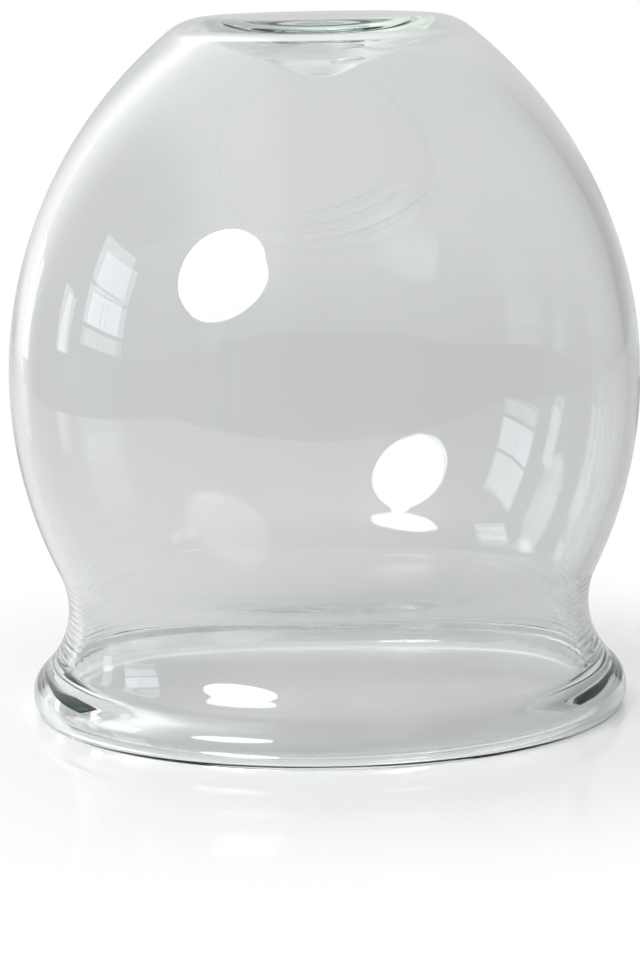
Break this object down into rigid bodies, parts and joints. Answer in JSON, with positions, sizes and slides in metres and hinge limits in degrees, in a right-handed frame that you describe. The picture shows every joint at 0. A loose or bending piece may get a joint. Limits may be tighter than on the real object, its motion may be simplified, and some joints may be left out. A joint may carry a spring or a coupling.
{
  "type": "cupping glass",
  "caption": "Clear blown-glass cupping glass: round bulb, drawn-in waist, flared rounded lip and flattened crown sealed by a plug with a hanging drop.",
  "frame": {"origin": "centre of the mouth, on the plane that the lip stands on", "axes": "+Z along the axis of the glass, from the mouth up to the crown"},
  "size_m": [0.06, 0.06, 0.0657],
  "materials": {
    "clear_glass": "gloss"
  },
  "bodies": {
    "root": {"bulb": "clear_glass", "lip": "clear_glass", "crown_seal": "clear_glass"}
  },
  "joints": []
}
